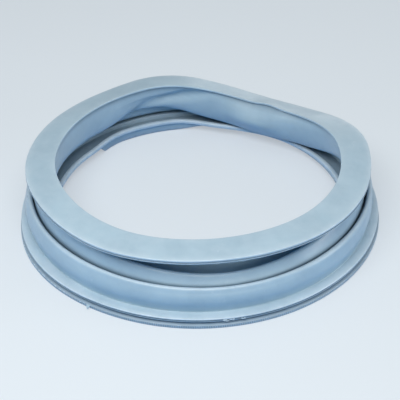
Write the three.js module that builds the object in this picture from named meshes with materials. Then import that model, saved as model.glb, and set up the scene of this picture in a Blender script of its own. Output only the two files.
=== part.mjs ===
// Washing machine door seal: one moulded ring of light grey rubber, lying on its tub flange
// with the door lip up. Millimetres, +Z up. The origin is in the middle of the flat underside.
// Angles are in degrees round the axis: 0 is the right (+X), 90 the back (+Y), 270 the front.
import * as THREE from 'three';

// Driving dimensions
const BASE_RADIUS = 175;
const BASE_INNER_RADIUS = 160.4;
const UNDERSIDE_CHAMFER = 0.6;
const WEB_TOP = 11;
const LIP_OUTER_RADIUS = 164.4;
const LIP_INNER_RADIUS = 135.9;
const LIP_OUTER_HEIGHT = 61.2;
const LIP_INNER_HEIGHT = 64.4;
const LIP_THICKNESS = 3;
const LIP_CROWN = 0.2;
const LIP_BEAD_HEIGHT = 4.4;
const WALL_THICKNESS = 2;
const WEB_THICKNESS = 2.8;
const RIM_RADIUS = 140.6;
const RIM_BEAD = 2.3;
const LUG_FROM = 84;
const LUG_TO = 136;
const LUG_FADE = 16;
const LUG_FOOT = 0.5;
const RIM_UNDERSIDE = [10, 6.5, -0.4];
const RIM_WEB_START = 8;
const RIM_PULL_AT_LUG = 7.5;
const RIM_PULL_FROM = 80;
const RIM_PULL_TO = 143;
const RIM_PULL_FADE = 21;
const RING_OFFSET_X = -1.2;
const WEB_CORNER_WIDTH = 4;
const WEB_CORNER_HEIGHT = 4.8;
const WEB_CORNER_OUTSET = 1.2;
const WEB_CORNER_DRAFT = 0.6;
const WEB_CORNER_DROP = 0.2;
const WALL_JOIN = 5.2;
const WALL_JOIN_BELOW_WEB = 1;
const STEPS_ROUND = 75;

// Middle line of the bellows wall at rest, from under the lip to the base.
// Each point moves with the named place of the section.
const BELLOWS = [
  { r: 138.7, z: 52, place: 'neck' },
  { r: 139.2, z: 42, place: 'neckBelly' },
  { r: 141.2, z: 32, place: 'neckFoot' },
  { r: 145.4, z: 26.6, place: 'neckFoot' },
  { r: 149.2, z: 31, place: 'neckFoot' },
  { r: 150.6, z: 41, place: 'middleWall' },
  { r: 150.8, z: 50.2, place: 'crest' },
  { r: 153.8, z: 53.4, place: 'crest' },
  { r: 156.3, z: 50.3, place: 'crest' },
  { r: 158.2, z: 37, place: 'gapWall' },
  { r: 156.8, z: 24, place: 'gapFoot' },
  { r: 158.9, z: 20.5, place: 'gapFoot' },
  { r: 161.2, z: 24, place: 'gapFoot' },
  { r: 160.8, z: 33.8, place: 'outerCrest' },
  { r: 161.9, z: 36.5, place: 'outerCrest' },
  { r: 163.7, z: 36.5, place: 'outerCrest' },
  { r: 164.8, z: 33.8, place: 'outerCrest' },
  { r: 166.5, z: 27.5, place: 'base' },
  { r: 167.1, z: 21.5, place: 'base' },
  { r: 165.1, z: 13.6, place: 'base' },
];

// The base's edge from the flange's top down: a groove with a small rib in it, and a second disc below.
// Each point is [beyond the flange's edge, height].
const BASE_EDGE = [
  [-0.5, 10],
  [0, 9.3],
  [0, 8.6],
  [-2.4, 8.1],
  [-0.4, 7.5],
  [-0.4, 6.5],
  [-4, 5.9],
  [-4, 3.8],
  [0.8, 3.3],
  [0.8, 0.5],
  [0.3, 0],
];

// The beaded inner rim, from under the web round the bead to the web's top.
// Each point is [beyond the bead's centre, above the web's top], in bead radii.
const RIM_BEAD_OUTLINE = [
  [-1, -0.6],
  [-0.7, 0.7],
  [0.3, 1],
  [1.2, 0.25],
];

// How the soft ring lies out of true. Each swell is widest at its angle and dies away at its spread.
// Under it, each named place moves by [outward, up].
const SWELLS = [
  // the lip is pressed down and in at the back right
  { at: 60, spread: 55, lipOuter: [-6.5, -17], lipInner: [-6, -12], crest: [-3.5, -15], outerCrest: [0, -6] },
  // the neck bulges into the opening under it
  { at: 60, spread: 48, neck: [-11, -11], middleWall: [-9, -13], gapWall: [-1, -6] },
  { at: 60, spread: 46, neckBelly: [-12, 0], neckFoot: [-12, 0] },
  { at: 60, spread: 56, neckBelly: [0, -11.5], neckFoot: [0, -11.5] },
  // the lip and the bellows stand higher on both sides of that dent
  { at: 96, spread: 32, lipOuter: [-2, 3.5], lipInner: [-2, 2.5], neck: [0, 3] },
  { at: 15, spread: 30, lipOuter: [1.5, 2.5], lipInner: [0, 0.5] },
  { at: 110, spread: 26, neckBelly: [1, 9], neckFoot: [1, 9] },
  { at: 8, spread: 34, neck: [0.5, 3] },
  { at: 3, spread: 34, neckBelly: [1.5, 11.5], neckFoot: [1.5, 11.5], middleWall: [0, 4] },
  // the inner rim is drawn in under the dent and out beside it
  { at: 75, spread: 25, rim: [-3, 0] },
  { at: 15, spread: 45, rim: [2.5, 0] },
  // the free edge of the lip hangs at the back left
  { at: 132, spread: 42, lipOuter: [-1, -2.5] },
  // a small wave in the lip's inner edge in the middle of the dent
  { at: 56, spread: 9, lipInner: [0, 2.2] },
  // the neck bellies out most in the middle of the dent
  { at: 64, spread: 21, neck: [-1.5, 0], neckBelly: [-5.5, 0.5], neckFoot: [-1, 0] },
  // the lip rides up at the left and at the front, where the folds below it sit lower
  { at: 205, spread: 40, lipOuter: [0.5, 5.5], lipInner: [0.5, 3.5] },
  { at: 280, spread: 65, lipOuter: [0.5, 5.5], lipInner: [0, 3.5] },
  { at: 279, spread: 62, middleWall: [-1, -9], crest: [-1, -12.4], gapWall: [0.4, -4], outerCrest: [0, -3] },
  // the bellows lean a little to the right, and the flange is not quite round
  { at: 330, spread: 50, gapWall: [1.5, 0] },
  { at: 350, spread: 80, outerCrest: [1.8, 0.5] },
  { at: 175, spread: 35, flange: [-2.5, 0] },
  { at: 217, spread: 30, flange: [0.8, 0] },
  // a soft fold runs down the neck, shifted by `slant` degrees for each millimetre below the lip
  { at: 81, spread: 10, slant: 1, neck: [5, 0], neckBelly: [5.5, 0], neckFoot: [4, 0] },
];

const degrees = THREE.MathUtils.degToRad;

function angleBetween(angle, other) {
  return Math.abs(((angle - other + 540) % 360) - 180);
}

// 1 at the centre, falling smoothly to 0 at the spread
function swellAt(angle, centre, spread) {
  const away = angleBetween(angle, centre);
  return away < spread ? (1 + Math.cos((Math.PI * away) / spread)) / 2 : 0;
}

// 1 between two angles, with a smooth fade of the given width inside each end
function stretchAt(angle, from, to, fade) {
  const half = (to - from) / 2;
  const inside = half - angleBetween(angle, from + half);
  return THREE.MathUtils.smoothstep(inside, 0, fade);
}

function moved(place, r, z, angle) {
  const point = new THREE.Vector2(r, z);
  for (const swell of SWELLS) {
    const [outward, up] = swell[place] ?? [0, 0];
    const centre = swell.at + (swell.slant ?? 0) * (LIP_INNER_HEIGHT - z);
    const share = swellAt(angle, centre, swell.spread);
    point.x += outward * share;
    point.y += up * share;
  }
  return point;
}

// The flat door lip, from the nose inside the opening, over its top and round its outer bead.
// The lip's own axes run from its inner edge to its outer edge, and up.
function lipOutline(inner, outer) {
  const along = outer.clone().sub(inner).normalize();
  const up = new THREE.Vector2(-along.y, along.x);
  const width = outer.distanceTo(inner);
  const at = (out, rise) => inner.clone().addScaledVector(along, out).addScaledVector(up, rise);
  return [
    at(2.2, -LIP_THICKNESS * 0.75),
    at(0.1, -LIP_THICKNESS * 0.7),
    at(0, 0),
    at(width / 2, LIP_CROWN),
    at(width - 0.7, 0),
    at(width - 0.1, -0.7),
    at(width - 0.1, -2),
    at(width - 0.7, -2.6),
    at(width + 0.2, -3.2),
    at(width - 0.1, -LIP_BEAD_HEIGHT),
    at(width - 2, -LIP_BEAD_HEIGHT),
    at(width - 4.5, -LIP_THICKNESS),
    at(5.4, -LIP_THICKNESS),
  ];
}

// Both faces of the bellows wall, a half thickness to each side of its middle line
function bellowsFaces(angle, neckTop) {
  const line = [neckTop, ...BELLOWS.map(({ r, z, place }) => moved(place, r, z, angle))];
  const outerFace = [];
  const innerFace = [];
  for (let i = 1; i < line.length; i += 1) {
    const next = line[Math.min(i + 1, line.length - 1)];
    const along = next.clone().sub(line[i - 1]).normalize();
    const outward = new THREE.Vector2(-along.y, along.x);
    outerFace.push(line[i].clone().addScaledVector(outward, WALL_THICKNESS / 2));
    innerFace.push(line[i].clone().addScaledVector(outward, -WALL_THICKNESS / 2));
  }
  return { outerFace, innerFace };
}

// The base ring from the flange's top round its edge to the flat underside and the ring's inner face
function baseOutline(angle) {
  const edge = moved('flange', BASE_RADIUS, 0, angle).x;
  return [
    new THREE.Vector2(BASE_INNER_RADIUS + WALL_JOIN, WEB_TOP - WALL_JOIN_BELOW_WEB),
    ...BASE_EDGE.map(([beyond, height]) => new THREE.Vector2(edge + beyond, height)),
    new THREE.Vector2(BASE_INNER_RADIUS + UNDERSIDE_CHAMFER, 0),
    new THREE.Vector2(BASE_INNER_RADIUS, UNDERSIDE_CHAMFER),
    new THREE.Vector2(BASE_INNER_RADIUS, WEB_TOP - WEB_THICKNESS),
  ];
}

// The thin web from the base ring in to the beaded inner rim, with the lug below the rim at the back left
function rimOutline(angle) {
  const pull = RIM_PULL_AT_LUG * stretchAt(angle, RIM_PULL_FROM, RIM_PULL_TO, RIM_PULL_FADE);
  const centre = moved('rim', RIM_RADIUS + pull, 0, angle).x;
  const webBottom = WEB_TOP - WEB_THICKNESS;
  const lugShare = angle < LUG_TO ? THREE.MathUtils.smoothstep(angle, LUG_FROM, LUG_FROM + LUG_FADE) : 0;
  const lugBottom = webBottom - (webBottom - LUG_FOOT) * lugShare;
  const bead = ([beyond, above]) => new THREE.Vector2(centre + beyond * RIM_BEAD, WEB_TOP + above * RIM_BEAD);
  const cornerOuter = BASE_INNER_RADIUS + WEB_CORNER_OUTSET;
  const cornerInner = cornerOuter - WEB_CORNER_WIDTH;
  return [
    new THREE.Vector2(centre + RIM_UNDERSIDE[0], webBottom),
    new THREE.Vector2(centre + RIM_UNDERSIDE[1], lugBottom),
    new THREE.Vector2(centre + RIM_UNDERSIDE[2], lugBottom),
    ...RIM_BEAD_OUTLINE.map(bead),
    new THREE.Vector2(centre + RIM_WEB_START, WEB_TOP),
    new THREE.Vector2(cornerInner, WEB_TOP),
    new THREE.Vector2(cornerInner + WEB_CORNER_DRAFT, WEB_TOP + WEB_CORNER_HEIGHT - WEB_CORNER_DROP),
    new THREE.Vector2(cornerOuter, WEB_TOP + WEB_CORNER_HEIGHT),
  ];
}

function sectionAt(angle) {
  const inner = moved('lipInner', LIP_INNER_RADIUS, LIP_INNER_HEIGHT, angle);
  const outer = moved('lipOuter', LIP_OUTER_RADIUS, LIP_OUTER_HEIGHT, angle);
  const lip = lipOutline(inner, outer);
  const neckTop = lip[0].clone().lerp(lip[lip.length - 1], 0.45);
  const { outerFace, innerFace } = bellowsFaces(angle, neckTop);
  return [...lip, ...outerFace, ...baseOutline(angle), ...rimOutline(angle), ...innerFace.reverse()];
}

// One closed skin: the section carried round the axis and joined to itself
function ringGeometry() {
  const positions = [];
  const indices = [];
  let count = 0;
  for (let step = 0; step < STEPS_ROUND; step += 1) {
    const angle = (360 * step) / STEPS_ROUND;
    const section = sectionAt(angle);
    count = section.length;
    for (const { x: radius, y: height } of section) {
      const across = RING_OFFSET_X + radius * Math.cos(degrees(angle));
      positions.push(across, radius * Math.sin(degrees(angle)), height);
    }
  }
  for (let step = 0; step < STEPS_ROUND; step += 1) {
    const here = step * count;
    const next = ((step + 1) % STEPS_ROUND) * count;
    for (let i = 0; i < count; i += 1) {
      const j = (i + 1) % count;
      indices.push(here + i, here + j, next + j);
      indices.push(here + i, next + j, next + i);
    }
  }
  const geometry = new THREE.BufferGeometry();
  geometry.setAttribute('position', new THREE.Float32BufferAttribute(positions, 3));
  geometry.setIndex(indices);
  geometry.computeVertexNormals();
  return geometry;
}

const rubber = new THREE.MeshStandardMaterial({ color: 0xb9c4cc, roughness: 0.55, metalness: 0 });
const seal = new THREE.Mesh(ringGeometry(), rubber);
seal.name = 'door_seal';

const part = new THREE.Group();
part.add(seal);

export default part;
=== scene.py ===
"""Washing machine door seal: one moulded ring of light grey rubber, lying on its base flange.

The skin is a section outline swept round the ring by Geometry Nodes and pushed out of true by soft
swells. Section sizes are in millimetres and angles in degrees; Blender's own units are metres.
"""
import math

import bmesh
import bpy
import numpy as np
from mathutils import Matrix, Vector


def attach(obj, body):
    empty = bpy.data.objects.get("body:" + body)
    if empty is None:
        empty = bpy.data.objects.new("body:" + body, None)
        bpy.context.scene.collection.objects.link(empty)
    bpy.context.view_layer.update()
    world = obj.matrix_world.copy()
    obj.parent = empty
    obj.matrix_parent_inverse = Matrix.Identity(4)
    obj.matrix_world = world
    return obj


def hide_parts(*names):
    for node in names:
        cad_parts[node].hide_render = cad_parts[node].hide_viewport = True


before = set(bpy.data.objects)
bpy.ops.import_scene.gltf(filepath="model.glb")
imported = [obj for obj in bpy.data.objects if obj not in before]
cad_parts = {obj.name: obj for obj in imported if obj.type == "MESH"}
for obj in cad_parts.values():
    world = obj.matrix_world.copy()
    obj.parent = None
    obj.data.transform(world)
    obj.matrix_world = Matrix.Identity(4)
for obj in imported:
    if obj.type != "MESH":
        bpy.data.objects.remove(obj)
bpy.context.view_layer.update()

MM = 0.001

# Driving dimensions of the moulding
BASE_RADIUS = 175
BASE_INNER_RADIUS = 160.4
WEB_TOP = 11
WEB_THICKNESS = 2.8
WEB_BOTTOM = WEB_TOP - WEB_THICKNESS
WEB_CORNER_WIDTH = 4
WEB_CORNER_HEIGHT = 4.8
LIP_OUTER_RADIUS = 164.4
LIP_INNER_RADIUS = 135.9
LIP_OUTER_HEIGHT = 61.2
LIP_INNER_HEIGHT = 64.4
LIP_THICKNESS = 3
LIP_CROWN = 0.2
LIP_BEAD_HEIGHT = 4.4
WALL_THICKNESS = 2
RIM_RADIUS = 140.6
RIM_BEAD = 2.3
RIM_BEAD_FOOT = 1.2 * RIM_BEAD
RING_OFFSET_X = -1.2

# The lug below the inner rim, and the stretch where the rim runs further out above it: angles, but
# millimetres for the lug's foot and the rim's pull
LUG_FROM = 84
LUG_TO = 136.5
LUG_GROWS_OVER = 16
LUG_ENDS_OVER = 4
LUG_FOOT = 0.5
RIM_PULL = 7.5
RIM_PULL_FROM = 80
RIM_PULL_TO = 143
RIM_PULL_FADE = 21

# How finely the skin is made
STEPS_ROUND = 360
LONGEST_STEP_ACROSS = 4.2
CURVE_STEPS = 4
SMALL_CURVE_STEPS = 3
SMALL_RADIUS = 0.7
LONGEST_CORNER_CUT = 0.48
BELLOWS_STEPS = 3
WALL_STEPS_LEFT_OUT = 2
WELD_GAP = 0.002

# The parts of the section that move on their own when the soft ring is pushed
PLACES = [
    "lip_inner", "lip_outer", "neck", "neck_belly", "neck_foot", "middle_wall", "crest",
    "gap_wall", "gap_foot", "outer_crest", "base", "flange", "rim", "lug",
]

# The lip's inner edge: outward from the edge, rise above the lip's top, corner radius
NOSE_TOP = (0, 0, 0.7)
UNDERSIDE_END = (5.4, -LIP_THICKNESS, 2)
NOSE_FOOT = [
    (2.2, -0.75 * LIP_THICKNESS, 0.5),
    (0.1, -0.7 * LIP_THICKNESS, 0.7),
]
NECK_START = (3.6, -0.9 * LIP_THICKNESS)

# The lip's bead with its fine groove, from the top down: beyond the outer edge, rise, corner radius
LIP_BEAD = [
    (-0.2, 0, 1.0),
    (-0.1, -2.0, 0.3),
    (-0.7, -2.4, 0.25),
    (-0.7, -2.8, 0.25),
    (0.25, -3.1, 0.3),
    (-0.1, -LIP_BEAD_HEIGHT, 0.5),
    (-2, -LIP_BEAD_HEIGHT, 0.8),
    (-4.5, -LIP_THICKNESS, 1.5),
]

# Middle line of the bellows wall, from under the lip to the base: radius, height, place
BELLOWS = [
    (138.7, 52, "neck"),
    (139.2, 42, "neck_belly"),
    (141.2, 32, "neck_foot"),
    (145.4, 26.6, "neck_foot"),
    (149.2, 31, "neck_foot"),
    (150.6, 41, "middle_wall"),
    (150.8, 50.2, "crest"),
    (153.8, 53.4, "crest"),
    (156.3, 50.3, "crest"),
    (158.2, 37, "gap_wall"),
    (156.8, 24, "gap_foot"),
    (158.9, 20.5, "gap_foot"),
    (161.2, 24, "gap_foot"),
    (160.8, 33.8, "outer_crest"),
    (161.9, 36.5, "outer_crest"),
    (163.7, 36.5, "outer_crest"),
    (164.8, 33.8, "outer_crest"),
    (166.5, 27.5, "base"),
    (167.1, 21.5, "base"),
    (165.3, 14, "base"),
    (163.9, 10.5, "base"),
]

# Where the wall meets the flange: radius, height, corner radius
WALL_FOOT = (165.6, 10, 0.8)

# The base's edge from the flange's top down: beyond the flange's edge, height, corner radius
BASE_EDGE = [
    (-0.5, 10, 0.6),
    (0, 9.3, 0.4),
    (0, 8.6, 0.3),
    (-2.4, 8.1, 0.4),
    (-0.4, 7.5, 0.3),
    (-0.4, 6.5, 0.3),
    (-4, 5.9, 0.4),
    (-4, 3.8, 0.4),
    (0.8, 3.3, 0.4),
    (0.8, 0.0, 0.5),
]

# The base's inner side from the floor up to the web: height, corner radius
BASE_INNER_SIDE = [(0, 0.8), (WEB_BOTTOM, 1)]

# The inner rim from the web's underside round the bead: beyond the rim's middle, height, place, corner radius
RIM = [
    (10, WEB_BOTTOM, "rim", 0.8),
    (6.5, WEB_BOTTOM - 0.05, "lug", 0.6),
    (-0.4, WEB_BOTTOM - 0.05, "lug", 0.6),
    (-0.4, WEB_BOTTOM + 0.8, "rim", 0.4),
    (-RIM_BEAD, WEB_TOP - 1.8, "rim", 0.9),
    (-RIM_BEAD, WEB_TOP + RIM_BEAD, "rim", 1.8),
    (1.1 * RIM_BEAD, WEB_TOP + RIM_BEAD, "rim", 1.8),
    (RIM_BEAD_FOOT, WEB_TOP, "rim", 0.9),
    (8, WEB_TOP, "rim", 0),
]

# The raised corner between the web and the wall: beyond the base's inner side, height, corner radius
WEB_CORNER = [
    (-2.8, WEB_TOP, 0.8),
    (-2.2, WEB_TOP + WEB_CORNER_HEIGHT - 0.2, 1.2),
    (WEB_CORNER_WIDTH - 2.8, WEB_TOP + WEB_CORNER_HEIGHT, 1),
]

# How the soft ring lies out of true: angle, spread, and how far each place moves outward and up
SWELLS = [
    # the lip is pressed down and in at the back right
    (60, 55, {"lip_outer": (-6.5, -17), "lip_inner": (-6, -12),
              "crest": (-3.5, -15), "outer_crest": (0, -6)}),
    # the neck bulges into the opening under it
    (60, 48, {"neck": (-11, -11), "middle_wall": (-9, -13), "gap_wall": (-1, -6)}),
    (60, 46, {"neck_belly": (-12, 0), "neck_foot": (-12, 0)}),
    (60, 56, {"neck_belly": (0, -11.5), "neck_foot": (0, -11.5)}),
    # the lip and the bellows stand higher on both sides of that dent
    (96, 32, {"lip_outer": (-2, 3.5), "lip_inner": (-2, 2.5), "neck": (0, 3)}),
    (15, 30, {"lip_outer": (1.5, 2.5), "lip_inner": (0, 0.5)}),
    (110, 26, {"neck_belly": (1, 9), "neck_foot": (1, 9)}),
    (8, 34, {"neck": (0.5, 3)}),
    (3, 34, {"neck_belly": (1.5, 11.5), "neck_foot": (1.5, 11.5), "middle_wall": (0, 4)}),
    # the inner rim is drawn in under the dent and out beside it
    (75, 25, {"rim": (-3, 0)}),
    (15, 45, {"rim": (2.5, 0)}),
    # the free edge of the lip hangs at the back left
    (132, 42, {"lip_outer": (-1, -2.5)}),
    # a small wave in the lip's inner edge in the middle of the dent
    (56, 9, {"lip_inner": (0, 2.2)}),
    # the neck bellies out most in the middle of the dent
    (64, 21, {"neck": (-1.5, 0), "neck_belly": (-5.5, 0.5), "neck_foot": (-1, 0)}),
    # the lip rides up at the left and at the front, where the folds below it sit lower
    (205, 40, {"lip_outer": (0.5, 5.5), "lip_inner": (0.5, 3.5)}),
    (280, 65, {"lip_outer": (0.5, 5.5), "lip_inner": (0, 3.5)}),
    (279, 62, {"middle_wall": (-1, -9), "crest": (-1, -12.4), "gap_wall": (0.4, -4), "outer_crest": (0, -3)}),
    (330, 50, {"gap_wall": (1.5, 0)}),
    # the bellows lean a little to the right, and the flange is not quite round
    (350, 80, {"outer_crest": (1.8, 0.5)}),
    (175, 35, {"flange": (-2.5, 0)}),
    (217, 30, {"flange": (0.8, 0)}),
]

# Narrow folds that run down the neck at a slant: angle at the lip, degrees for each millimetre below it,
# spread, and the moves
SLANTED_FOLDS = [
    (81, 1.0, 10, {"neck": (5, 0), "neck_belly": (5.5, 0), "neck_foot": (4, 0)}),
]

# Moves that hold over a stretch: start and end of the rise, start and end of the fall, and the moves
STRETCHES = [
    # the inner rim runs further out where the lug hangs below it
    (RIM_PULL_FROM, RIM_PULL_FROM + RIM_PULL_FADE, RIM_PULL_TO - RIM_PULL_FADE, RIM_PULL_TO,
     {"rim": (RIM_PULL, 0), "lug": (RIM_PULL, 0)}),
    # the lug grows slowly and ends short
    (LUG_FROM, LUG_FROM + LUG_GROWS_OVER, LUG_TO - LUG_ENDS_OVER, LUG_TO,
     {"lug": (0, LUG_FOOT - WEB_BOTTOM)}),
]

# A slow ripple of the whole skin
RIPPLE_HEIGHT = 0.4
RIPPLE_LENGTH = 50
RIPPLE_SEED = 3.0

# Fine upright ribs round the edge of the lower disc, a little coarser than real ones so that they show
RIB_COUNT = 550
RIB_BEYOND_EDGE = 0.68
RIB_MIDDLE_HEIGHT = 1.65
RIB_LENGTH = 2.2
RIB_RADIUS = 0.38
RIB_SIDES = 6

# Flash left by the mould: name, count, from and to angle, beyond the flange's edge, height, height scatter,
# least and most size, seed
FLASH_STRETCHES = [
    ("flash_disc_left", 70, 196, 236, 0.7, 2.9, 0.9, 0.25, 0.8, 11),
    ("flash_disc_front", 26, 250, 318, 0.7, 3.0, 0.5, 0.15, 0.4, 12),
    ("flash_rib_front", 20, 276.9, 279.7, -0.1, 7.4, 1.8, 0.5, 0.95, 13),
    ("flash_rib_right", 9, 281.5, 282.9, -0.1, 7.3, 1.4, 0.4, 0.75, 14),
    ("flash_lip_front", 14, 262, 300, -10.3, 62.6, 0.6, 0.15, 0.35, 15),
]

# A flake's own shape, as shares of its size: across the edge, along the edge, up
FLAKE_LEAST_SHAPE = (0.5, 0.8, 0.3)
FLAKE_MOST_SHAPE = (1.0, 2.2, 0.8)

# Torn tongues of flash: name, angle, radius, height, length, width, droop in radians
TORN_TONGUES = [
    ("flash_tongue_left", 235.8, 175.8, 3.0, 4.6, 4.4, 0.45),
    ("flash_tongue_left_small", 232.5, 175.8, 2.8, 2.0, 2.4, 0.4),
    ("flash_tongue_lip", 283, 164.7, 62.6, 1.1, 1.4, 1.2),
]

# How a torn tongue is made: millimetres for the root and thickness, shares of its width for the rest
TONGUE_STEPS = 5
TONGUE_ROOT = 0.8
TONGUE_HALF_THICKNESS = 0.35
TONGUE_THINNING = 0.6
TONGUE_TAPER = 0.75
TONGUE_TAPER_POWER = 1.5
TONGUE_RAGGEDNESS = 0.12
TONGUE_RAGGED_TURN = 9
TONGUE_LEAN = 0.25

# What the skin's points carry for its finish
SURFACE_VALUES = ("fold_depth", "groove_depth", "edge_wear_and_highlight")

# Folds and grooves, where shade is painted: how far off the facing surface may be, and how squarely the two
# have to face
FOLD_REACH = 5
GROOVE_REACH = 2.6
SHUT_IN_NEAREST = 0.3
SHUT_IN_AHEAD = 0.3
SHUT_IN_FACING = -0.35
SHUT_IN_GAIN = 1.3

# Darkening: a painted shadow line in the seam under the lip, painted shade on the web and the lug, and a
# darker disc edge; how much each holds
SEAM_FROM_EDGE = 2.6
SEAM_REACH = 2.4
WEB_SHADE = 0.5
WEB_SHADE_BAND = 0.5
LUG_SHADE = 0.28
DISC_DARKENING = 0.5
DISC_BEYOND_FLANGE = 0.6

# Pale edges, part rubbed wear and part painted highlight: how far round a point the section is looked at, and
# what is made paler more or less than its shape says
EDGE_REACH = 1.3
EDGE_NEAREST = 0.1
EDGE_FLATNESS = 0.12
EDGE_GAIN = 3.4
LIP_EDGE_SPARED = 0.75
BEAD_HIGHLIGHT_AND_WEAR = 0.85
BEAD_MARGIN = 0.3
BEAD_DEPTH = 1.5
CREST_HIGHLIGHT_AND_WEAR = 0.7
SOFTENING = (0.25, 0.5, 0.25)

# Colours of the rubber
RUBBER_DARK = "#A0B9C8"
RUBBER_LIGHT = "#AAC3D1"
RUBBER_FLECK = "#B3C8D3"
RUBBER_BLOOM = "#BFCFDA"
# pale edges: part rubbed wear, part painted highlight
RUBBER_EDGE_AND_HIGHLIGHT = "#CBDAE4"
# painted shade deep in the bellows folds
RUBBER_FOLD_SHADE = "#6F8CA3"
# painted shade with some dust in grooves; painted shade on the web and lug and under the lip; a darker disc
# edge
GROOVE_SHADE_AND_DUST = "#455A6B"

# The rubber's patterns: how wide a patch is in millimetres, noise detail, noise roughness
PATTERNS = {
    "clouds": (38, 3, 0.55),
    "flecks": (7, 4, 0.6),
    "bloom patches": (16, 5, 0.65),
    "scuff lines": (9, 2, 0.4),
    "scuffed places": (45, 2, 0.5),
    "edge patches": (14, 3, 0.5),
    "groove patches": (12, 3, 0.5),
    "sheen": (18, 4, 0.6),
    "tool unevenness": (16, 3, 0.5),
    # the grain of a spark-eroded tool is a tenth of this, drawn coarser so that it shows
    "tool grain": (0.7, 2, 0.5),
}

# How a pattern or measure becomes a share: where it starts and ends, and the shares there
SPANS = {
    "clouds": (0.32, 0.68, 0, 1),
    "flecks": (0.35, 0.7, 0, 0.22),
    "bloom patches": (0.35, 0.72, 0.05, 0.28),
    "facing up": (0.55, 0.98, 0, 1),
    "low down": (10.8 * MM, 10.2 * MM, 1, 1.7),
    "off the line": (0.012, 0.002, 0, 1),
    "scuffed places": (0.56, 0.66, 0, 0.4),
    "edge patches": (0.25, 0.6, 0.45, 0.9),
    "groove patches": (0.2, 0.6, 0.75, 1),
    "sheen": (0.3, 0.7, 0.28, 0.40),
}

# Finishes that show only as far as all their shares allow
FINISHES = {
    "bloom": ("facing up", "bloom patches", "low down"),
    "scuffs": ("off the line", "scuffed places"),
    "rubbed and highlighted edges": ("edge_wear_and_highlight", "edge patches"),
    "shaded folds": ("fold_depth", "fold strength"),
    "shaded and dusty grooves": ("groove_depth", "groove patches"),
}
FOLD_STRENGTH = 0.85

# Layers of colour over the dark rubber, from the bottom up
LAYERS = [
    ("clouds", RUBBER_LIGHT),
    ("flecks", RUBBER_FLECK),
    ("bloom", RUBBER_BLOOM),
    ("scuffs", RUBBER_BLOOM),
    ("rubbed and highlighted edges", RUBBER_EDGE_AND_HIGHLIGHT),
    ("shaded folds", RUBBER_FOLD_SHADE),
    ("shaded and dusty grooves", GROOVE_SHADE_AND_DUST),
]

# Gloss and relief of the rubber: changes of roughness, and bumps in millimetres
RUBBED_ROUGHNESS = -0.08
BLOOM_ROUGHNESS = 0.25
RUBBER_IOR = 1.5
UNEVENNESS_STRENGTH = 0.22
UNEVENNESS_DEPTH = 0.9
GRAIN_STRENGTH = 0.14
GRAIN_DEPTH = 0.2

# The camera stands where the photograph was taken from
CAMERA_DISTANCE = 1.178
CAMERA_ELEVATION = math.radians(35.78)
CAMERA_ROLL = math.radians(-0.71)
CAMERA_TARGET = Vector((0, 0, 0.0112))
CAMERA_LENS = 108
CAMERA_SENSOR = 36

# Studio colours and levels, and the floor's half width and drop in metres
FLOOR_BOUNCE = "#2F98D6"
FLOOR_SEEN = "#9DA4A9"
FLOOR_GLOW = 0.48
FLOOR_ROUGHNESS = 0.9
FLOOR_HALF_WIDTH = 14
FLOOR_DROP = 0.0002
BACKDROP = "#EDF4FA"
BACKDROP_STRENGTH = 0.62
AMBIENT_COLOUR = "#DFEFF8"
AMBIENT = 0.25

# Softboxes: name, place and target in metres, width and height in metres, power in watts
SOFTBOXES = [
    ("key softbox", (-0.15, -0.5, 0.85), (0, -0.05, 0), (0.85, 0.5), 7.8),
    ("overhead softbox", (0.1, 0.35, 1.4), (0, 0, 0), (1.0, 0.8), 0.8),
    ("right softbox", (1.7, -0.45, 0.32), (0, 0, 0.03), (0.8, 0.5), 9.4),
    ("left softbox", (-1.7, -0.37, 0.32), (0, 0, 0.03), (0.8, 0.5), 4.4),
    ("back softbox", (0.5, 1.7, 0.32), (0, 0, 0.03), (0.8, 0.5), 2.0),
]


def linear(hex_colour):
    """An sRGB hex colour as the linear colour that shaders take."""
    channels = [int(hex_colour[i:i + 2], 16) / 255 for i in (1, 3, 5)]
    return [c / 12.92 if c <= 0.04045 else ((c + 0.055) / 1.055) ** 2.4 for c in channels] + [1]


def add_node(tree, kind, settings=None, inputs=None):
    """Adds a node; an input is a value, or the socket of another node that feeds it."""
    node = tree.nodes.new(kind)
    for name, value in (settings or {}).items():
        setattr(node, name, value)
    for key, value in (inputs or {}).items():
        socket = node.inputs[key]
        if isinstance(value, bpy.types.NodeSocket):
            tree.links.new(value, socket)
        else:
            socket.default_value = value
    return node


# The section outline. A point is radius, height and its share of each place in PLACES.

def section_point(radius, height, **shares):
    return np.array([radius, height] + [shares.get(place, 0) for place in PLACES], dtype=float)


def rounded(corners):
    """Replaces each (point, radius) corner of a closed outline by a short curve."""
    outline = []
    for i, (corner, radius) in enumerate(corners):
        if radius == 0:
            outline.append(corner)
            continue
        sides = []
        for neighbour in (corners[i - 1][0], corners[(i + 1) % len(corners)][0]):
            length = np.linalg.norm(neighbour[:2] - corner[:2])
            sides.append(corner + (neighbour - corner) * min(radius / length, LONGEST_CORNER_CUT))
        for t in np.linspace(0, 1, SMALL_CURVE_STEPS if radius < SMALL_RADIUS else CURVE_STEPS):
            outline.append((1 - t) ** 2 * sides[0] + 2 * t * (1 - t) * corner + t ** 2 * sides[1])
    return outline


def with_longest_step(outline, longest):
    """Adds points on long straight stretches of a closed outline."""
    finer = []
    for i, point in enumerate(outline):
        following = outline[(i + 1) % len(outline)]
        pieces = max(1, math.ceil(np.linalg.norm(following[:2] - point[:2]) / longest))
        finer.extend(point + (following - point) * k / pieces for k in range(pieces))
    return finer


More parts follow.
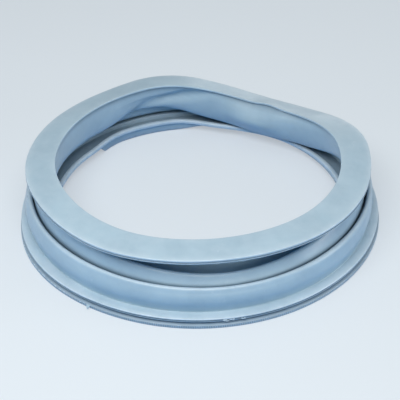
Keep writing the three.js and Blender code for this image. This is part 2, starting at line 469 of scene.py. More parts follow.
def smooth_line(points, steps):
    """A Catmull-Rom curve through the points, with its left-hand normals."""
    ends = [2 * points[0] - points[1]] + list(points) + [2 * points[-1] - points[-2]]
    line, normals = [], []
    for i in range(1, len(ends) - 2):
        a, b, c, d = ends[i - 1:i + 3]
        last = i == len(ends) - 3
        for t in np.linspace(0, 1, steps + 1)[:steps + last]:
            line.append(0.5 * (2 * b + (c - a) * t + (2 * a - 5 * b + 4 * c - d) * t ** 2
                               + (3 * b - a - 3 * c + d) * t ** 3))
            slope = (c - a) + 2 * (2 * a - 5 * b + 4 * c - d) * t + 3 * (3 * b - a - 3 * c + d) * t ** 2
            along = slope[:2] / np.linalg.norm(slope[:2])
            normals.append(np.array([-along[1], along[0]]))
    return line, normals


def lip_point(out, rise):
    """A point of the lip, by its distance from the inner edge along the top, and its rise above it."""
    inner = np.array([LIP_INNER_RADIUS, LIP_INNER_HEIGHT])
    outer = np.array([LIP_OUTER_RADIUS, LIP_OUTER_HEIGHT])
    width = np.linalg.norm(outer - inner)
    along = (outer - inner) / width
    radius, height = inner + along * out + np.array([-along[1], along[0]]) * rise
    share = min(max(out / width, 0), 1)
    return section_point(radius, height, lip_inner=1 - share, lip_outer=share)


def wall_face(wall, normals, side):
    """One face of the bellows wall, from its middle line, without the ends that lie inside lip and base."""
    face = []
    for point, normal in list(zip(wall, normals))[WALL_STEPS_LEFT_OUT:-WALL_STEPS_LEFT_OUT]:
        moved = point.copy()
        moved[:2] += normal * side * WALL_THICKNESS / 2
        face.append((moved, 0))
    return face


def section_outline():
    """The closed outline of the section, clockwise from the lip's inner edge."""
    width = math.hypot(LIP_OUTER_RADIUS - LIP_INNER_RADIUS, LIP_OUTER_HEIGHT - LIP_INNER_HEIGHT)
    middle_line = [lip_point(*NECK_START)] + [section_point(r, z, **{place: 1}) for r, z, place in BELLOWS]
    wall, normals = smooth_line(middle_line, BELLOWS_STEPS)

    lip = [(lip_point(*NOSE_TOP[:2]), NOSE_TOP[2]), (lip_point(width / 2, LIP_CROWN), 0)]
    lip += [(lip_point(width + beyond, rise), radius) for beyond, rise, radius in LIP_BEAD]
    lip.append((lip_point(*UNDERSIDE_END[:2]), UNDERSIDE_END[2]))

    base = [(section_point(*WALL_FOOT[:2], base=1), WALL_FOOT[2])]
    base += [(section_point(BASE_RADIUS + beyond, z, flange=1), radius) for beyond, z, radius in BASE_EDGE]
    base += [(section_point(BASE_INNER_RADIUS, z, base=1), radius) for z, radius in BASE_INNER_SIDE]

    rim = [(section_point(RIM_RADIUS + beyond, z, **{place: 1}), radius) for beyond, z, place, radius in RIM]
    rim += [(section_point(BASE_INNER_RADIUS + beyond, z, base=1), radius)
            for beyond, z, radius in WEB_CORNER]

    nose_foot = [(lip_point(out, rise), radius) for out, rise, radius in NOSE_FOOT]
    corners = lip + wall_face(wall, normals, 1) + base + rim + wall_face(wall, normals, -1)[::-1] + nose_foot
    return with_longest_step(rounded(corners), LONGEST_STEP_ACROSS)


def moves_of(outline, moves):
    """How far a swell or stretch moves each point of the outline, outward and up."""
    shifts = np.array([moves.get(place, (0, 0)) for place in PLACES], dtype=float)
    return [point[2:] @ shifts for point in outline]


def outward_of(points):
    """The direction straight out of the rubber at each point of the closed outline."""
    along = np.roll(points, -1, 0) - np.roll(points, 1, 0)
    return np.stack([-along[:, 1], along[:, 0]], 1) / np.linalg.norm(along, axis=1)[:, None]


def softened(values):
    """The values round the closed outline, each mixed with its neighbours."""
    return np.convolve(np.tile(values, 3), SOFTENING, "same")[len(values):2 * len(values)]


def shut_in(outline, reach):
    """How close the rest of the section stands in front of each point: 0 for open space, up to 1."""
    points = np.array([p[:2] for p in outline])
    outward = outward_of(points)
    depths = []
    for point, facing in zip(points, outward):
        offset = points - point
        distance = np.linalg.norm(offset, axis=1)
        ahead = offset @ facing / np.maximum(distance, MM)
        within = (distance < reach) & (distance > SHUT_IN_NEAREST)
        near = within & (ahead > SHUT_IN_AHEAD) & (outward @ facing < SHUT_IN_FACING)
        closeness = ahead[near] * (1 - distance[near] / reach)
        depths.append(min(1, closeness.max() * SHUT_IN_GAIN) if near.any() else 0)
    return softened(depths)


def painted_shade_and_dust(outline):
    """How dark each point is made: painted shade with some dust in grooves, painted shade on the web and lug,
    a painted shadow line under the lip, and a darker tone on the disc's edge between the ribs.
    """
    seam = lip_point(SEAM_FROM_EDGE, -LIP_THICKNESS)[:2]
    lug_place, flange_place = [2 + PLACES.index(name) for name in ("lug", "flange")]
    held = []
    for point, groove in zip(outline, shut_in(outline, GROOVE_REACH)):
        between_bead_and_base = RIM_RADIUS + RIM_BEAD_FOOT < point[0] < BASE_INNER_RADIUS
        on_web = between_bead_and_base and abs(point[1] - WEB_TOP) < WEB_SHADE_BAND
        in_seam = max(0, 1 - np.linalg.norm(point[:2] - seam) / SEAM_REACH)
        on_disc = point[flange_place] * (point[0] > BASE_RADIUS + DISC_BEYOND_FLANGE)
        on_lug = point[lug_place]
        held.append(max(groove, in_seam, WEB_SHADE * on_web, LUG_SHADE * on_lug, DISC_DARKENING * on_disc))
    return softened(held)


def edge_wear_and_highlight(outline):
    """How pale each point's edge is, part wear and part painted highlight: 0 where the section is flat or
    hollow, up to 1 on sharp edges.
    """
    points = np.array([p[:2] for p in outline])
    edge_places = ("lip_inner", "rim", "outer_crest")
    lip_place, rim_place, crest_place = [2 + PLACES.index(name) for name in edge_places]
    wear = []
    for point, place, facing in zip(outline, points, outward_of(points)):
        offset = points - place
        distance = np.linalg.norm(offset, axis=1)
        near = (distance < EDGE_REACH) & (distance > EDGE_NEAREST)
        drop = -(offset[near] @ facing) / distance[near]
        rubbed = min(1, max(0, drop.mean() - EDGE_FLATNESS) * EDGE_GAIN) if near.any() else 0
        # the lip's inner edge is hardly made paler; the rim's bead and the outer crest's top, where light
        # falls, get painted highlight with some wear all over
        rubbed *= 1 - LIP_EDGE_SPARED * point[lip_place]
        bead_width = abs(place[0] - RIM_RADIUS) < RIM_BEAD + BEAD_MARGIN
        on_bead = point[rim_place] * bead_width * (place[1] > WEB_TOP - BEAD_DEPTH)
        on_crest = point[crest_place] * max(0, facing[1]) ** 2
        wear.append(max(rubbed, BEAD_HIGHLIGHT_AND_WEAR * on_bead, CREST_HIGHLIGHT_AND_WEAR * on_crest))
    return softened(wear)


def section_mesh(outline):
    """The outline as loose points that carry their moves and finish for the node tree."""
    mesh = bpy.data.meshes.new("door_seal_skin")
    mesh.from_pydata([(p[0] * MM, 0, p[1] * MM) for p in outline], [], [])
    all_moves = [entry[-1] for entry in SWELLS + SLANTED_FOLDS + STRETCHES]
    for number, moves in enumerate(all_moves):
        attribute = mesh.attributes.new(f"move_{number}", "FLOAT_VECTOR", "POINT")
        for datum, (outward, up) in zip(attribute.data, moves_of(outline, moves)):
            datum.vector = (outward * MM, 0, up * MM)
    # painted shade in folds; painted shade with some dust in grooves and recesses; pale edges, part wear and
    # part painted highlight
    surface = (shut_in(outline, FOLD_REACH), painted_shade_and_dust(outline), edge_wear_and_highlight(outline))
    for name, values in zip(SURFACE_VALUES, surface):
        attribute = mesh.attributes.new(name, "FLOAT", "POINT")
        for datum, value in zip(attribute.data, values):
            datum.value = value
    return mesh


def group_inputs(tree, sockets):
    """Adds named inputs to a node tree: name, socket type, default."""
    for name, kind, default in sockets:
        socket = tree.interface.new_socket(name, in_out="INPUT", socket_type=kind)
        if default is not None:
            socket.default_value = default


def swell_share_group():
    """1 at an angle, dying away smoothly at the spread on both sides."""
    tree = bpy.data.node_groups.new("Swell share", "GeometryNodeTree")
    group_inputs(tree, [("Angle", "NodeSocketFloat", 0), ("Centre", "NodeSocketFloat", 0),
                        ("Spread", "NodeSocketFloat", 30)])
    tree.interface.new_socket("Share", in_out="OUTPUT", socket_type="NodeSocketFloat")
    given = add_node(tree, "NodeGroupInput").outputs
    away = add_node(tree, "ShaderNodeMath", {"operation": "SUBTRACT"},
                    {0: given["Angle"], 1: given["Centre"]})
    nearest = add_node(tree, "ShaderNodeMath", {"operation": "WRAP"}, {0: away.outputs[0], 1: 180, 2: -180})
    distance = add_node(tree, "ShaderNodeMath", {"operation": "ABSOLUTE"}, {0: nearest.outputs[0]})
    share = add_node(tree, "ShaderNodeMapRange", {"interpolation_type": "SMOOTHSTEP"},
                     {"Value": distance.outputs[0], "From Min": given["Spread"], "From Max": 0})
    add_node(tree, "NodeGroupOutput", None, {"Share": share.outputs[0]})
    return tree


def stretch_share_group():
    """0, then a smooth rise to 1 and a smooth fall back to 0, over four angles."""
    tree = bpy.data.node_groups.new("Stretch share", "GeometryNodeTree")
    group_inputs(tree, [(name, "NodeSocketFloat", 0) for name in
                        ("Angle", "Rise from", "Rise to", "Fall from", "Fall to")])
    tree.interface.new_socket("Share", in_out="OUTPUT", socket_type="NodeSocketFloat")
    given = add_node(tree, "NodeGroupInput").outputs
    rise = add_node(tree, "ShaderNodeMapRange", {"interpolation_type": "SMOOTHSTEP"},
                    {"Value": given["Angle"], "From Min": given["Rise from"], "From Max": given["Rise to"]})
    fall = add_node(tree, "ShaderNodeMapRange", {"interpolation_type": "SMOOTHSTEP"},
                    {"Value": given["Angle"], "From Min": given["Fall to"], "From Max": given["Fall from"]})
    both = add_node(tree, "ShaderNodeMath", {"operation": "MULTIPLY"},
                    {0: rise.outputs[0], 1: fall.outputs[0]})
    add_node(tree, "NodeGroupOutput", None, {"Share": both.outputs[0]})
    return tree


def flange_place_group():
    """A place by its angle, its distance beyond the flange's edge and its height, on the ring as it lies."""
    tree = bpy.data.node_groups.new("Flange place", "GeometryNodeTree")
    group_inputs(tree, [("Angle", "NodeSocketFloat", 0), ("Beyond edge", "NodeSocketFloat", 0),
                        ("Height", "NodeSocketFloat", 0)])
    tree.interface.new_socket("Place", in_out="OUTPUT", socket_type="NodeSocketVector")
    given = add_node(tree, "NodeGroupInput").outputs
    radius = add_node(tree, "ShaderNodeMath", {"operation": "ADD"},
                      {0: given["Beyond edge"], 1: BASE_RADIUS * MM}).outputs[0]
    share_group = swell_share_group()
    for at, spread, moves in SWELLS:
        if "flange" not in moves:
            continue
        share = add_node(tree, "GeometryNodeGroup", {"node_tree": share_group},
                         {"Angle": given["Angle"], "Centre": at, "Spread": spread}).outputs[0]
        radius = add_node(tree, "ShaderNodeMath", {"operation": "MULTIPLY_ADD"},
                          {0: share, 1: moves["flange"][0] * MM, 2: radius}).outputs[0]
    outward = add_node(tree, "ShaderNodeCombineXYZ", None, {"X": radius, "Z": given["Height"]})
    turn = add_node(tree, "ShaderNodeMath", {"operation": "RADIANS"}, {0: given["Angle"]})
    turned = add_node(tree, "ShaderNodeVectorRotate", {"rotation_type": "Z_AXIS"},
                      {"Vector": outward.outputs[0], "Angle": turn.outputs[0]})
    place = add_node(tree, "ShaderNodeVectorMath", {"operation": "ADD"},
                     {0: turned.outputs[0], 1: (RING_OFFSET_X * MM, 0, 0)})
    add_node(tree, "NodeGroupOutput", None, {"Place": place.outputs[0]})
    return tree


def instanced_at(tree, count, place, angle, instance, scale, rubber):
    """Puts an instance on each place, turned to its angle, and ends the tree with real faces of rubber."""
    points = add_node(tree, "GeometryNodePoints", None, {"Count": count, "Position": place})
    # the angle is kept on the points, so that each copy is turned by the angle that placed it
    kept = add_node(tree, "GeometryNodeStoreNamedAttribute", {"data_type": "FLOAT", "domain": "POINT"},
                    {"Geometry": points.outputs[0], "Name": "angle", "Value": angle})
    stored = add_node(tree, "GeometryNodeInputNamedAttribute", {"data_type": "FLOAT"}, {"Name": "angle"})
    turn = add_node(tree, "ShaderNodeMath", {"operation": "RADIANS"}, {0: stored.outputs["Attribute"]})
    rotation = add_node(tree, "ShaderNodeCombineXYZ", None, {"Z": turn.outputs[0]})
    copies = add_node(tree, "GeometryNodeInstanceOnPoints", None,
                      {"Points": kept.outputs[0], "Instance": instance, "Rotation": rotation.outputs[0],
                       "Scale": scale})
    real = add_node(tree, "GeometryNodeRealizeInstances", None, {"Geometry": copies.outputs[0]})
    finished = add_node(tree, "GeometryNodeSetMaterial", None,
                        {"Geometry": real.outputs[0], "Material": rubber})
    add_node(tree, "NodeGroupOutput", None, {"Pieces": finished.outputs[0]})


def ribs_tree(rubber):
    """Fine upright ribs all round the edge of the base's lower disc."""
    tree = bpy.data.node_groups.new("Ribs round the disc", "GeometryNodeTree")
    group_inputs(tree, [
        ("Base", "NodeSocketGeometry", None),
        ("Count", "NodeSocketInt", 100),
        ("Beyond edge", "NodeSocketFloat", 0),
        ("Middle height", "NodeSocketFloat", 0),
        ("Rib length", "NodeSocketFloat", 0.002),
        ("Rib radius", "NodeSocketFloat", 0.0004),
    ])
    tree.interface.new_socket("Pieces", in_out="OUTPUT", socket_type="NodeSocketGeometry")
    given = add_node(tree, "NodeGroupInput").outputs
    index = add_node(tree, "GeometryNodeInputIndex")
    turns = add_node(tree, "ShaderNodeMath", {"operation": "DIVIDE"},
                     {0: index.outputs[0], 1: given["Count"]})
    angle = add_node(tree, "ShaderNodeMath", {"operation": "MULTIPLY"},
                     {0: turns.outputs[0], 1: 360}).outputs[0]
    place = add_node(tree, "GeometryNodeGroup", {"node_tree": flange_place_group()},
                     {"Angle": angle, "Beyond edge": given["Beyond edge"], "Height": given["Middle height"]})
    rib = add_node(tree, "GeometryNodeMeshCylinder", None,
                   {"Vertices": RIB_SIDES, "Radius": given["Rib radius"], "Depth": given["Rib length"]})
    instanced_at(tree, given["Count"], place.outputs[0], angle, rib.outputs["Mesh"], (1, 1, 1), rubber)
    return tree


def flakes_tree(rubber):
    """Small ragged bits of moulding flash, strewn along a stretch of an edge."""
    tree = bpy.data.node_groups.new("Flakes along an edge", "GeometryNodeTree")
    group_inputs(tree, [
        ("Base", "NodeSocketGeometry", None),
        ("Count", "NodeSocketInt", 10),
        ("From angle", "NodeSocketFloat", 0),
        ("To angle", "NodeSocketFloat", 90),
        ("Beyond edge", "NodeSocketFloat", 0),
        ("Height", "NodeSocketFloat", 0),
        ("Height scatter", "NodeSocketFloat", 0.001),
        ("Least size", "NodeSocketFloat", 0.0003),
        ("Most size", "NodeSocketFloat", 0.001),
        ("Seed", "NodeSocketInt", 0),
    ])
    tree.interface.new_socket("Pieces", in_out="OUTPUT", socket_type="NodeSocketGeometry")
    given = add_node(tree, "NodeGroupInput").outputs

    # each random value has a stream of its own: data type, first input socket, least, most, output socket
    draws = {
        "angle": ("FLOAT", 2, given["From angle"], given["To angle"], 1),
        "rise": ("FLOAT", 2, -0.5, 0.5, 1),
        "size": ("FLOAT", 2, given["Least size"], given["Most size"], 1),
        "shape": ("FLOAT_VECTOR", 0, FLAKE_LEAST_SHAPE, FLAKE_MOST_SHAPE, 0),
    }
    drawn = {}
    for stream, (name, (kind, low_socket, least, most, out_socket)) in enumerate(draws.items()):
        seed = add_node(tree, "ShaderNodeMath", {"operation": "ADD"}, {0: given["Seed"], 1: stream})
        value = add_node(tree, "FunctionNodeRandomValue", {"data_type": kind},
                         {low_socket: least, low_socket + 1: most, "Seed": seed.outputs[0]})
        drawn[name] = value.outputs[out_socket]

    height = add_node(tree, "ShaderNodeMath", {"operation": "MULTIPLY_ADD"},
                      {0: drawn["rise"], 1: given["Height scatter"], 2: given["Height"]})
    place = add_node(tree, "GeometryNodeGroup", {"node_tree": flange_place_group()},
                     {"Angle": drawn["angle"], "Beyond edge": given["Beyond edge"],
                      "Height": height.outputs[0]})
    ball = add_node(tree, "GeometryNodeMeshIcoSphere", None, {"Radius": 1, "Subdivisions": 1})
    # torn flash is pale, and takes the edges' pale colour, part wear and part painted highlight
    flake = add_node(tree, "GeometryNodeStoreNamedAttribute", {"data_type": "FLOAT", "domain": "POINT"},
                     {"Geometry": ball.outputs["Mesh"], "Name": "edge_wear_and_highlight", "Value": 1})
    scale = add_node(tree, "ShaderNodeVectorMath", {"operation": "SCALE"},
                     {0: drawn["shape"], "Scale": drawn["size"]})
    instanced_at(tree, given["Count"], place.outputs[0], drawn["angle"], flake.outputs[0], scale.outputs[0],
                 rubber)
    return tree


def torn_tongue(name, angle, radius, height, length, width, droop, rubber):
    """A thin tongue of flash that hangs from an edge: wide at its root, ragged and bent down at its tip."""
    skin = bmesh.new()
    rings = []
    turn = math.radians(angle)
    for i in range(TONGUE_STEPS + 1):
        share = i / TONGUE_STEPS
        out = radius - TONGUE_ROOT + length * share * math.cos(share * droop)
        up = height - length * share * math.sin(share * droop)
        taper = 1 - TONGUE_TAPER * share ** TONGUE_TAPER_POWER
        ragged = 1 + TONGUE_RAGGEDNESS * math.sin(TONGUE_RAGGED_TURN * share)
        half_width = width / 2 * taper * ragged
        half_thickness = TONGUE_HALF_THICKNESS * (1 - TONGUE_THINNING * share)
        ring = []
        for side, lift in ((-1, -1), (1, -1), (1, 1), (-1, 1)):
            aside = side * half_width + TONGUE_LEAN * width * share * share
            x = out * math.cos(turn) - aside * math.sin(turn) + RING_OFFSET_X
            y = out * math.sin(turn) + aside * math.cos(turn)
            ring.append(skin.verts.new((x * MM, y * MM, (up + lift * half_thickness) * MM)))
        rings.append(ring)
    for first, second in zip(rings, rings[1:]):
        for k in range(4):
            skin.faces.new((first[k], first[(k + 1) % 4], second[(k + 1) % 4], second[k]))
    skin.faces.new(rings[0][::-1])
    skin.faces.new(rings[-1])
    bmesh.ops.recalc_face_normals(skin, faces=skin.faces)
    mesh = bpy.data.meshes.new(name)
    skin.to_mesh(mesh)
    skin.free()
    mesh.materials.append(rubber)
    tongue = bpy.data.objects.new(name, mesh)
    bpy.context.scene.collection.objects.link(tongue)
    return tongue


def ring_tree(rubber):
    """Sweeps the section points round the ring, moves them, and closes the skin."""
    tree = bpy.data.node_groups.new("Ring from section", "GeometryNodeTree")
    group_inputs(tree, [
        ("Section", "NodeSocketGeometry", None),
        ("Steps round", "NodeSocketInt", STEPS_ROUND),
        ("Middle X", "NodeSocketFloat", 0),
        ("Ripple height", "NodeSocketFloat", 0),
        ("Ripple length", "NodeSocketFloat", 0.05),
        ("Ripple seed", "NodeSocketFloat", 0),
    ])
    tree.interface.new_socket("Ring", in_out="OUTPUT", socket_type="NodeSocketGeometry")
    given = add_node(tree, "NodeGroupInput").outputs

    # a sheet with one column of vertices for each step round, and one row for each section point
    size = add_node(tree, "GeometryNodeAttributeDomainSize", {"component": "MESH"},
                    {"Geometry": given["Section"]})
    count = size.outputs["Point Count"]
    rows = add_node(tree, "ShaderNodeMath", {"operation": "ADD"}, {0: count, 1: 1})
    columns = add_node(tree, "ShaderNodeMath", {"operation": "ADD"}, {0: given["Steps round"], 1: 1})
    sheet = add_node(tree, "GeometryNodeMeshGrid", None,
                     {"Vertices X": columns.outputs[0], "Vertices Y": rows.outputs[0]})
    index = add_node(tree, "GeometryNodeInputIndex").outputs[0]
    row = add_node(tree, "ShaderNodeMath", {"operation": "MODULO"}, {0: index, 1: rows.outputs[0]})
    step = add_node(tree, "ShaderNodeMath", {"operation": "DIVIDE"}, {0: index, 1: rows.outputs[0]})
    whole_step = add_node(tree, "ShaderNodeMath", {"operation": "FLOOR"}, {0: step.outputs[0]})
    turns = add_node(tree, "ShaderNodeMath", {"operation": "DIVIDE"},
                     {0: whole_step.outputs[0], 1: given["Steps round"]})
    part_turn = add_node(tree, "ShaderNodeMath", {"operation": "FRACT"}, {0: turns.outputs[0]})
    angle = add_node(tree, "ShaderNodeMath", {"operation": "MULTIPLY"},
                     {0: part_turn.outputs[0], 1: 360}).outputs[0]
    section_index = add_node(tree, "ShaderNodeMath", {"operation": "MODULO"}, {0: row.outputs[0], 1: count})

    # what the section's points carry, read for each vertex of the sheet
    carried = {"place": ("FLOAT_VECTOR", add_node(tree, "GeometryNodeInputPosition").outputs[0])}
    move_names = [f"move_{number}" for number in range(len(SWELLS + SLANTED_FOLDS + STRETCHES))]
    for kind, names in (("FLOAT_VECTOR", move_names), ("FLOAT", SURFACE_VALUES)):
        for name in names:
            named = add_node(tree, "GeometryNodeInputNamedAttribute", {"data_type": kind}, {"Name": name})
            carried[name] = (kind, named.outputs["Attribute"])
    read = {}
    for name, (kind, value) in carried.items():
        node = add_node(tree, "GeometryNodeSampleIndex", {"data_type": kind, "domain": "POINT"},
                        {"Geometry": given["Section"], "Value": value, "Index": section_index.outputs[0]})
        read[name] = node.outputs["Value"]

    # the share of each swell, slanted fold and stretch at the vertex
    swell_group, stretch_group = swell_share_group(), stretch_share_group()
    shares = []
    for at, spread, _ in SWELLS:
        shares.append(add_node(tree, "GeometryNodeGroup", {"node_tree": swell_group},
                               {"Angle": angle, "Centre": at, "Spread": spread}).outputs[0])
    height = add_node(tree, "ShaderNodeSeparateXYZ", None, {0: read["place"]}).outputs["Z"]
    below_lip = add_node(tree, "ShaderNodeMath", {"operation": "SUBTRACT"},
                         {0: LIP_INNER_HEIGHT * MM, 1: height})
    for at, slant, spread, _ in SLANTED_FOLDS:
        centre = add_node(tree, "ShaderNodeMath", {"operation": "MULTIPLY_ADD"},
                          {0: below_lip.outputs[0], 1: slant / MM, 2: at})
        shares.append(add_node(tree, "GeometryNodeGroup", {"node_tree": swell_group},
                               {"Angle": angle, "Centre": centre.outputs[0], "Spread": spread}).outputs[0])
    for rise_from, rise_to, fall_from, fall_to, _ in STRETCHES:
        shares.append(add_node(tree, "GeometryNodeGroup", {"node_tree": stretch_group},
                               {"Angle": angle, "Rise from": rise_from, "Rise to": rise_to,
                                "Fall from": fall_from, "Fall to": fall_to}).outputs[0])
    place = read["place"]
    for name, share in zip(move_names, shares):
        scaled = add_node(tree, "ShaderNodeVectorMath", {"operation": "SCALE"},
                          {0: read[name], "Scale": share})
        place = add_node(tree, "ShaderNodeVectorMath", {"operation": "ADD"},
                         {0: place, 1: scaled.outputs[0]}).outputs[0]

    # radius and height, turned to their angle
    turn = add_node(tree, "ShaderNodeMath", {"operation": "RADIANS"}, {0: angle})
    turned = add_node(tree, "ShaderNodeVectorRotate", {"rotation_type": "Z_AXIS"},
                      {"Vector": place, "Angle": turn.outputs[0]})
    middle = add_node(tree, "ShaderNodeCombineXYZ", None, {"X": given["Middle X"]})
    at_middle = add_node(tree, "ShaderNodeVectorMath", {"operation": "ADD"},
                         {0: turned.outputs[0], 1: middle.outputs[0]})
    shaped = add_node(tree, "GeometryNodeSetPosition", None,
                      {"Geometry": sheet.outputs["Mesh"], "Position": at_middle.outputs[0]})
    skin = shaped.outputs[0]
    for name in SURFACE_VALUES:
        skin = add_node(tree, "GeometryNodeStoreNamedAttribute", {"data_type": "FLOAT", "domain": "POINT"},
                        {"Geometry": skin, "Name": name, "Value": read[name]}).outputs[0]
    closed = add_node(tree, "GeometryNodeMergeByDistance", None,
                      {"Geometry": skin, "Distance": WELD_GAP * MM})

    # a slow ripple, because soft rubber never lies quite true
    finer = add_node(tree, "ShaderNodeMath", {"operation": "DIVIDE"}, {0: 1, 1: given["Ripple length"]})
    noise = add_node(tree, "ShaderNodeTexNoise", {"noise_dimensions": "4D"},
                     {"Scale": finer.outputs[0], "Detail": 1, "W": given["Ripple seed"]})
    centred = add_node(tree, "ShaderNodeMath", {"operation": "SUBTRACT"}, {0: noise.outputs[0], 1: 0.5})
    rise = add_node(tree, "ShaderNodeMath", {"operation": "MULTIPLY"},
                    {0: centred.outputs[0], 1: given["Ripple height"]})
    outward = add_node(tree, "GeometryNodeInputNormal")
    ripple = add_node(tree, "ShaderNodeVectorMath", {"operation": "SCALE"},
                      {0: outward.outputs[0], "Scale": rise.outputs[0]})
    rippled = add_node(tree, "GeometryNodeSetPosition", None,
                       {"Geometry": closed.outputs[0], "Offset": ripple.outputs[0]})
    smooth = add_node(tree, "GeometryNodeSetShadeSmooth", None, {"Geometry": rippled.outputs[0]})
    real = add_node(tree, "GeometryNodeRealizeInstances", None, {"Geometry": smooth.outputs[0]})
    finished = add_node(tree, "GeometryNodeSetMaterial", None,
                        {"Geometry": real.outputs[0], "Material": rubber})
    add_node(tree, "NodeGroupOutput", None, {"Ring": finished.outputs[0]})
    return tree


def grown(name, mesh, tree, sizes):
    """Runs a node tree on a mesh with the named sizes, and returns the result as a plain mesh object."""
    source = bpy.data.objects.new(name + "_source", mesh)
    bpy.context.scene.collection.objects.link(source)
    modifier = source.modifiers.new("grow", "NODES")
    modifier.node_group = tree
    for socket in tree.interface.items_tree:
        if socket.in_out == "INPUT" and socket.name in sizes:
            modifier[socket.identifier] = sizes[socket.name]
    evaluated = source.evaluated_get(bpy.context.evaluated_depsgraph_get())
    result = bpy.data.meshes.new_from_object(evaluated)
    result.name = name
    source.modifiers.remove(modifier)
    bpy.data.objects.remove(source)
    piece = bpy.data.objects.new(name, result)
    bpy.context.scene.collection.objects.link(piece)
    return piece


def moulded_epdm_rubber():
    """Moulded EPDM rubber: satin light blue-grey, mottled, dusty on top, pale at its edges from wear and
    painted highlight, with painted shade in folds and grooves.
    """
    material = bpy.data.materials.new("moulded EPDM rubber")
    material.use_nodes = True
    tree = material.node_tree
    tree.nodes.clear()
    place = add_node(tree, "ShaderNodeTexCoord").outputs["Object"]
    pattern = {}
    for name, (size, detail, roughness) in PATTERNS.items():
        noise = add_node(tree, "ShaderNodeTexNoise", None,
                         {"Vector": place, "Scale": 1 / (size * MM), "Detail": detail,
                          "Roughness": roughness})
        pattern[name] = noise.outputs[0]

    # measures of the surface: how far it faces up, how high it lies, and how far a scuff's line is off
    normal = add_node(tree, "ShaderNodeNewGeometry").outputs["Normal"]
    offset = add_node(tree, "ShaderNodeMath", {"operation": "SUBTRACT"}, {0: pattern["scuff lines"], 1: 0.5})
    measures = {
        "facing up": add_node(tree, "ShaderNodeSeparateXYZ", None, {0: normal}).outputs["Z"],
        "low down": add_node(tree, "ShaderNodeSeparateXYZ", None, {0: place}).outputs["Z"],
        "off the line": add_node(tree, "ShaderNodeMath", {"operation": "ABSOLUTE"},
                                 {0: offset.outputs[0]}).outputs[0],
    }

    # shares from 0 to about 1, first read, then multiplied into finishes
    share = {"fold strength": FOLD_STRENGTH}
    for name in SURFACE_VALUES:
        share[name] = add_node(tree, "ShaderNodeAttribute", {"attribute_name": name}).outputs["Fac"]
    for name, (start, end, at_start, at_end) in SPANS.items():
        span = add_node(tree, "ShaderNodeMapRange", {"interpolation_type": "SMOOTHSTEP"},
                        {"Value": measures.get(name) or pattern[name], "From Min": start, "From Max": end,
                         "To Min": at_start, "To Max": at_end})
        share[name] = span.outputs[0]
    for finish, (first, *others) in FINISHES.items():
        share[finish] = share[first]
        for other in others:
            both = add_node(tree, "ShaderNodeMath", {"operation": "MULTIPLY"},
                            {0: share[finish], 1: share[other]})
            share[finish] = both.outputs[0]

    colour = linear(RUBBER_DARK)
    for finish, hex_colour in LAYERS:
        layered = add_node(tree, "ShaderNodeMix", {"data_type": "RGBA"},
                           {"Factor": share[finish], "A": colour, "B": linear(hex_colour)})
        colour = layered.outputs[2]

    # rubbed edges are smoother than the satin rubber, and bloom is duller
    rubbed = add_node(tree, "ShaderNodeMath", {"operation": "MULTIPLY_ADD"},
                      {0: share["rubbed and highlighted edges"], 1: RUBBED_ROUGHNESS, 2: share["sheen"]})
    roughness = add_node(tree, "ShaderNodeMath", {"operation": "MULTIPLY_ADD", "use_clamp": True},
                         {0: share["bloom"], 1: BLOOM_ROUGHNESS, 2: rubbed.outputs[0]})

    # a shallow unevenness and a fine grain, both left by the moulding tool
    uneven = add_node(tree, "ShaderNodeBump", None,
                      {"Height": pattern["tool unevenness"], "Strength": UNEVENNESS_STRENGTH,
                       "Distance": UNEVENNESS_DEPTH * MM})
    grain = add_node(tree, "ShaderNodeBump", None,
                     {"Height": pattern["tool grain"], "Strength": GRAIN_STRENGTH,
                      "Distance": GRAIN_DEPTH * MM, "Normal": uneven.outputs[0]})
    shader = add_node(tree, "ShaderNodeBsdfPrincipled", None,
                      {"Base Color": colour, "Roughness": roughness.outputs[0], "IOR": RUBBER_IOR,
                       "Normal": grain.outputs[0]})
    add_node(tree, "ShaderNodeOutputMaterial", None, {"Surface": shader.outputs[0]})
    return material


def seen_directly(tree):
    """1 for rays that show the background itself, 0 for the light that it throws on the object."""
    path = add_node(tree, "ShaderNodeLightPath").outputs
    looked_at = add_node(tree, "ShaderNodeMath", {"operation": "ADD"},
                         {0: path["Is Camera Ray"], 1: path["Is Glossy Ray"]})
    return add_node(tree, "ShaderNodeMath", {"operation": "ADD", "use_clamp": True},
                    {0: looked_at.outputs[0], 1: path["Is Transmission Ray"]}).outputs[0]


def matt_paper():
    """Matt paper floor: pale and even where it is seen, and a clear blue in the light that it throws back."""
    material = bpy.data.materials.new("matt white paper")
    material.use_nodes = True
    tree = material.node_tree
    tree.nodes.clear()
    seen = seen_directly(tree)
    colour = add_node(tree, "ShaderNodeMix", {"data_type": "RGBA"},
                      {"Factor": seen, "A": linear(FLOOR_BOUNCE), "B": linear(FLOOR_SEEN)})
    glow = add_node(tree, "ShaderNodeMath", {"operation": "MULTIPLY"}, {0: seen, 1: FLOOR_GLOW})
    shader = add_node(tree, "ShaderNodeBsdfPrincipled", None,
                      {"Base Color": colour.outputs[2], "Roughness": FLOOR_ROUGHNESS,
                       "Emission Color": linear(BACKDROP), "Emission Strength": glow.outputs[0]})
    add_node(tree, "ShaderNodeOutputMaterial", None, {"Surface": shader.outputs[0]})
    return material


def add_camera():
    camera = bpy.data.objects.new("camera", bpy.data.cameras.new("camera"))
    camera.data.lens = CAMERA_LENS
    camera.data.sensor_width = CAMERA_SENSOR
    ahead = Vector((0, math.cos(CAMERA_ELEVATION), -math.sin(CAMERA_ELEVATION)))
    camera.location = CAMERA_TARGET - ahead * CAMERA_DISTANCE
    camera.rotation_euler = ahead.to_track_quat("-Z", "Y").to_euler("XYZ")
    camera.rotation_euler.rotate_axis("Z", CAMERA_ROLL)
    bpy.context.scene.collection.objects.link(camera)
    bpy.context.scene.camera = camera


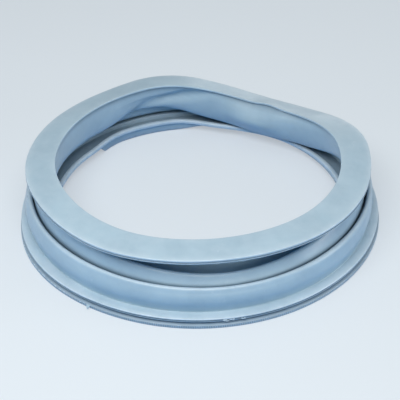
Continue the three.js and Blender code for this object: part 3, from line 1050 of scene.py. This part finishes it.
def add_floor():
    half = FLOOR_HALF_WIDTH
    mesh = bpy.data.meshes.new("floor")
    corners = [(-half, -half, 0), (half, -half, 0), (half, half, 0), (-half, half, 0)]
    mesh.from_pydata(corners, [], [(0, 1, 2, 3)])
    mesh.materials.append(matt_paper())
    floor = bpy.data.objects.new("floor", mesh)
    floor.location.z = -FLOOR_DROP
    bpy.context.scene.collection.objects.link(floor)


def add_world():
    """Soft light from all round, with a plain pale backdrop where it is looked at."""
    world = bpy.data.worlds.new("studio")
    bpy.context.scene.world = world
    world.use_nodes = True
    tree = world.node_tree
    tree.nodes.clear()
    seen = seen_directly(tree)
    ambient = add_node(tree, "ShaderNodeBackground", None,
                       {"Color": linear(AMBIENT_COLOUR), "Strength": AMBIENT})
    backdrop = add_node(tree, "ShaderNodeBackground", None,
                        {"Color": linear(BACKDROP), "Strength": BACKDROP_STRENGTH})
    either = add_node(tree, "ShaderNodeMixShader", None,
                      {0: seen, 1: ambient.outputs[0], 2: backdrop.outputs[0]})
    add_node(tree, "ShaderNodeOutputWorld", None, {"Surface": either.outputs[0]})


def add_softbox(name, place, target, size, power):
    lamp = bpy.data.lights.new(name, "AREA")
    lamp.shape = "RECTANGLE"
    lamp.size, lamp.size_y = size
    lamp.energy = power
    box = bpy.data.objects.new(name, lamp)
    box.location = place
    box.rotation_euler = (Vector(target) - Vector(place)).to_track_quat("-Z", "Y").to_euler()
    bpy.context.scene.collection.objects.link(box)


add_camera()
add_floor()
add_world()
for softbox in SOFTBOXES:
    add_softbox(*softbox)

rubber = moulded_epdm_rubber()
skin = grown("door_seal_skin", section_mesh(section_outline()), ring_tree(rubber), {
    "Steps round": STEPS_ROUND,
    "Middle X": RING_OFFSET_X * MM,
    "Ripple height": RIPPLE_HEIGHT * MM,
    "Ripple length": RIPPLE_LENGTH * MM,
    "Ripple seed": RIPPLE_SEED,
})
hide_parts("door_seal")

no_points = bpy.data.meshes.new("no_points")
ribs = grown("disc_edge_ribs", no_points, ribs_tree(rubber), {
    "Count": RIB_COUNT,
    "Beyond edge": RIB_BEYOND_EDGE * MM,
    "Middle height": RIB_MIDDLE_HEIGHT * MM,
    "Rib length": RIB_LENGTH * MM,
    "Rib radius": RIB_RADIUS * MM,
})
flakes = flakes_tree(rubber)
pieces = [skin, ribs]
for name, count, from_angle, to_angle, beyond, height, scatter, least, most, seed in FLASH_STRETCHES:
    pieces.append(grown(name, no_points, flakes, {
        "Count": count,
        "From angle": from_angle,
        "To angle": to_angle,
        "Beyond edge": beyond * MM,
        "Height": height * MM,
        "Height scatter": scatter * MM,
        "Least size": least * MM,
        "Most size": most * MM,
        "Seed": seed,
    }))
for tongue in TORN_TONGUES:
    pieces.append(torn_tongue(*tongue, rubber))
for piece in pieces:
    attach(piece, "root")

bpy.context.scene.view_settings.view_transform = "Standard"
